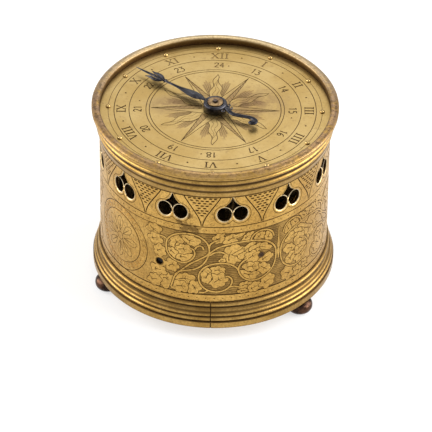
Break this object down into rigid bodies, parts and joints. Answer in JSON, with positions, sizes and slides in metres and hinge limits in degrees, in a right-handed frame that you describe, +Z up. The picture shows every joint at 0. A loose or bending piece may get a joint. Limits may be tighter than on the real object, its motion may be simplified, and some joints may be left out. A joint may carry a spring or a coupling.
{
  "type": "table clock",
  "caption": "Drum-shaped gilt table clock: flat dial on top with an hour hand and touch pins, pierced engraved wall, moulded rims, bun feet, and a spring movement that strikes a bell.",
  "frame": {"origin": "centre of the drum on the surface that the feet stand on", "axes": "+Z up along the drum's axis, +Y toward numeral XII of the dial, so the side with VI faces -Y"},
  "size_m": [0.104, 0.1045, 0.0867],
  "materials": {
    "gilt_brass": "worn fire gilding, engraved",
    "dial_gilt": "matt fire gilding, engraved",
    "foot_bronze": "dark brown patina",
    "blued_steel": "dark blued",
    "steel": "filed and polished",
    "movement_brass": "brushed",
    "bell_metal": "turned"
  },
  "bodies": {
    "case": {"drum_wall": "gilt_brass", "top_moulding": "gilt_brass", "base_moulding": "gilt_brass", "base_plate": "gilt_brass", "support_blocks": "movement_brass", "support_rivets": "steel", "dial_plate": "dial_gilt", "touch_pins": "gilt_brass", "dial_pillars": "movement_brass", "frame_pillars": "movement_brass", "pillar_pins": "steel", "bottom_plate": "movement_brass", "top_plate": "movement_brass", "frame_screws": "steel", "centre_bridge": "movement_brass", "bell_stand": "movement_brass", "bell": "bell_metal", "bell_nut": "steel", "spring_posts": "steel", "going_mainspring": "steel", "strike_mainspring": "steel", "crown_potence": "movement_brass", "verge_potence": "movement_brass", "balance_cock": "movement_brass", "strike_studs": "steel", "hammer_stop": "steel", "foot_1": "foot_bronze", "foot_2": "foot_bronze", "foot_3": "foot_bronze"},
    "going_wheel": {"going_great_wheel": "movement_brass", "going_report_pinion": "steel"},
    "going_winder": {"going_arbor": "steel", "going_ratchet": "steel"},
    "going_pawl": {"going_click": "steel"},
    "second": {"second_arbor": "steel", "second_wheel": "movement_brass"},
    "contrate": {"contrate_arbor": "steel", "contrate_wheel": "movement_brass"},
    "crown": {"crown_arbor": "steel", "crown_wheel": "movement_brass"},
    "oscillator": {"verge": "steel", "balance_wheel": "steel"},
    "hour": {"hour_arbor": "steel", "hour_wheel": "movement_brass"},
    "hand": {"hour_hand": "blued_steel", "hand_washer": "gilt_brass"},
    "strike_wheel": {"strike_great_wheel": "movement_brass", "strike_report_pinion": "steel"},
    "strike_winder": {"strike_arbor": "steel", "strike_ratchet": "steel"},
    "strike_pawl": {"strike_click": "steel"},
    "locking": {"locking_arbor": "steel", "locking_wheel": "movement_brass"},
    "fan": {"fly_arbor": "steel", "fly": "movement_brass"},
    "count": {"count_wheel": "movement_brass"},
    "lever": {"locking_lever": "steel"},
    "hammer": {"hammer_arbor": "steel", "hammer_head": "steel"},
    "catch": {"case_catch": "steel"}
  },
  "joints": [
    {"name": "going_train", "type": "hinge", "parent": "case", "child": "going_wheel", "pos_m": [-0.02, 0, 0.0429], "axis": [0, 0, 1], "continuous": true},
    {"name": "going_winding", "type": "hinge", "parent": "going_wheel", "child": "going_winder", "pos_m": [-0.02, 0, 0.0411], "axis": [0, 0, 1], "continuous": true},
    {"name": "going_click_lift", "type": "hinge", "parent": "going_wheel", "child": "going_pawl", "pos_m": [-0.0088, 0, 0.0411], "axis": [0, 0, -1], "range_deg": [0, 10], "stiffness_Nm_per_rad": 0.001, "springref_deg": -5.73},
    {"name": "second_turn", "type": "hinge", "parent": "case", "child": "second", "pos_m": [-0.01155, 0.01589, 0.0233], "axis": [0, 0, 1], "continuous": true},
    {"name": "contrate_turn", "type": "hinge", "parent": "case", "child": "contrate", "pos_m": [0.00271, 0.0179, 0.029], "axis": [0, 0, 1], "continuous": true},
    {"name": "crown_turn", "type": "hinge", "parent": "case", "child": "crown", "pos_m": [0.00271, 0.0179, 0.03413], "axis": [0.9511, 0.309, 0], "continuous": true},
    {"name": "balance_swing", "type": "hinge", "parent": "case", "child": "oscillator", "pos_m": [0.02206, 0.02419, 0.0501], "axis": [0, 0, 1], "range_deg": [-45, 45]},
    {"name": "hour_turn", "type": "hinge", "parent": "case", "child": "hour", "pos_m": [0, 0, 0.0493], "axis": [0, 0, 1], "continuous": true},
    {"name": "hand_set", "type": "hinge", "parent": "hour", "child": "hand", "pos_m": [0, 0, 0.0824], "axis": [0, 0, 1], "continuous": true},
    {"name": "strike_train", "type": "hinge", "parent": "case", "child": "strike_wheel", "pos_m": [0.02, 0, 0.0429], "axis": [0, 0, 1], "continuous": true},
    {"name": "strike_winding", "type": "hinge", "parent": "strike_wheel", "child": "strike_winder", "pos_m": [0.02, 0, 0.0411], "axis": [0, 0, 1], "continuous": true},
    {"name": "strike_click_lift", "type": "hinge", "parent": "strike_wheel", "child": "strike_pawl", "pos_m": [0.0088, 0, 0.0411], "axis": [0, 0, -1], "range_deg": [0, 10], "stiffness_Nm_per_rad": 0.001, "springref_deg": -5.73},
    {"name": "locking_turn", "type": "hinge", "parent": "case", "child": "locking", "pos_m": [0.01155, -0.01589, 0.0233], "axis": [0, 0, 1], "continuous": true},
    {"name": "fly_turn", "type": "hinge", "parent": "case", "child": "fan", "pos_m": [-0.00271, -0.0179, 0.0233], "axis": [0, 0, 1], "continuous": true},
    {"name": "count_turn", "type": "hinge", "parent": "case", "child": "count", "pos_m": [0.02373, -0.01391, 0.053], "axis": [0, 0, 1], "continuous": true},
    {"name": "lever_lift", "type": "hinge", "parent": "case", "child": "lever", "pos_m": [0.00734, -0.02538, 0.0542], "axis": [0, 0, -1], "range_deg": [0, 8], "stiffness_Nm_per_rad": 0.001, "springref_deg": -5.73},
    {"name": "hammer_lift", "type": "hinge", "parent": "case", "child": "hammer", "pos_m": [0.03557, 0.0109, 0.0429], "axis": [0, 0, 1], "range_deg": [0, 12], "stiffness_Nm_per_rad": 0.002, "springref_deg": -11.46},
    {"name": "catch_press", "type": "hinge", "parent": "case", "child": "catch", "pos_m": [-0.01934, -0.03947, 0.0471], "axis": [0.898, -0.4399, 0], "range_deg": [0, 5], "stiffness_Nm_per_rad": 0.15, "springref_deg": -1.72}
  ],
  "couplings": [
    {"joint": "second_turn", "follows": "going_train", "ratio": -9},
    {"joint": "contrate_turn", "follows": "going_train", "ratio": 63},
    {"joint": "crown_turn", "follows": "going_train", "ratio": 283.5},
    {"joint": "hour_turn", "follows": "going_train", "ratio": -0.25},
    {"joint": "locking_turn", "follows": "strike_train", "ratio": -9},
    {"joint": "fly_turn", "follows": "strike_train", "ratio": 63},
    {"joint": "count_turn", "follows": "strike_train", "ratio": -0.23077}
  ]
}
